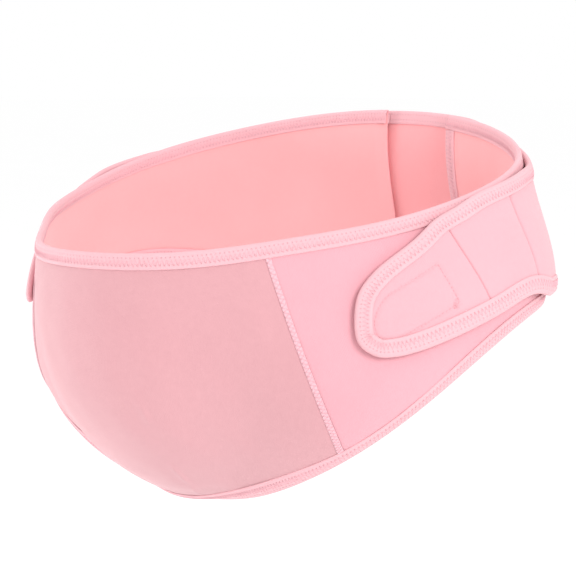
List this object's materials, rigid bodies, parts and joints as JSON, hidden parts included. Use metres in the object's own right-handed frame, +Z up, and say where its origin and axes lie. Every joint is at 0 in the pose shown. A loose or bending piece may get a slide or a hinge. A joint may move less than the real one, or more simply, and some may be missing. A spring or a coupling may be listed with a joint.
{
  "type": "maternity support belt",
  "caption": "Maternity support belt shown worn: rounded belly cup, hip wings and an outer back support with rounded tab ends fastened over the wings.",
  "frame": {"origin": "middle of the waist rim, halfway between its front and back and between its sides", "axes": "+Z up as worn, -Y towards the wearer's front, +X towards the wearer's left"},
  "size_m": [0.3964, 0.3244, 0.2457],
  "materials": {
    "cup_jersey": "soft brushed pink jersey",
    "wing_jersey": "soft pink jersey with a slight sheen",
    "panel_fabric": "pink loop-faced fabric",
    "edge_tape": "pale pink ribbed edge tape with zigzag stitches",
    "seam_tape": "pale pink overlocked flat seam",
    "hook_tape": "pink hook tape"
  },
  "bodies": {
    "root": {"belly_cup": "cup_jersey", "left_wing": "wing_jersey", "right_wing": "wing_jersey", "left_cup_seam": "seam_tape", "right_cup_seam": "seam_tape", "band_top_binding": "edge_tape", "band_bottom_binding": "edge_tape", "left_wing_end_binding": "edge_tape", "back_panel": "panel_fabric", "left_side_panel": "panel_fabric", "right_side_panel": "panel_fabric", "left_tab": "panel_fabric", "right_tab": "panel_fabric", "back_binding": "edge_tape", "left_hook_patch": "hook_tape", "right_hook_patch": "hook_tape", "back_hook_patch": "hook_tape", "centre_back_seam": "seam_tape"}
  },
  "joints": []
}
